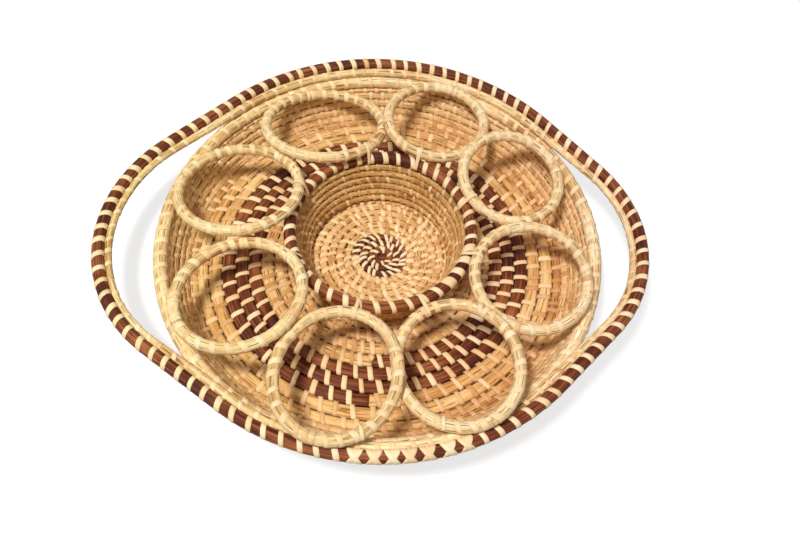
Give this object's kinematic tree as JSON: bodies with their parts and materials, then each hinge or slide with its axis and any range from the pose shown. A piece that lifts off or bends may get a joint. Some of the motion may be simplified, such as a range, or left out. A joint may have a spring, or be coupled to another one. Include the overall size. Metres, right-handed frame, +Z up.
{
  "type": "compartment basket tray",
  "caption": "Round coiled grass basket tray with a centre bowl, lashed ring compartments round it and a striped rim that bows out into side handles.",
  "frame": {"origin": "on the table under the middle of the outline, handles included", "axes": "+X to the right through the narrower handle, +Y to the back, +Z up"},
  "size_m": [0.4906, 0.4272, 0.0794],
  "materials": {
    "grass": "matte dried grass coils",
    "pine": "dark pine-needle coils with a slight sheen",
    "palm": "matte pale palm strip"
  },
  "bodies": {
    "root": {"start_knot": "pine", "knot_pine_coil": "pine", "floor_grass_coil": "grass", "floor_pine_band": "pine", "floor_outer_grass_coil": "grass", "wall_grass_coil": "grass", "bowl_wall_coil": "grass", "bowl_rim_pine_coil": "pine", "tray_edge_coil": "grass", "rim_grass_coil": "grass", "rim_pine_coil": "pine", "compartment_ring_1": "grass", "ring_bowl_lashing_1": "palm", "ring_wall_lashing_1": "palm", "ring_pair_lashing_1": "palm", "compartment_ring_2": "grass", "ring_bowl_lashing_2": "palm", "ring_wall_lashing_2": "palm", "ring_pair_lashing_2": "palm", "compartment_ring_3": "grass", "ring_bowl_lashing_3": "palm", "ring_wall_lashing_3": "palm", "ring_pair_lashing_3": "palm", "compartment_ring_4": "grass", "ring_bowl_lashing_4": "palm", "ring_wall_lashing_4": "palm", "ring_pair_lashing_4": "palm", "compartment_ring_5": "grass", "ring_bowl_lashing_5": "palm", "ring_wall_lashing_5": "palm", "ring_pair_lashing_5": "palm", "compartment_ring_6": "grass", "ring_bowl_lashing_6": "palm", "ring_wall_lashing_6": "palm", "ring_pair_lashing_6": "palm", "compartment_ring_7": "grass", "ring_bowl_lashing_7": "palm", "ring_wall_lashing_7": "palm", "ring_pair_lashing_7": "palm", "compartment_ring_8": "grass", "ring_bowl_lashing_8": "palm", "ring_wall_lashing_8": "palm", "ring_pair_lashing_8": "palm"}
  },
  "joints": []
}
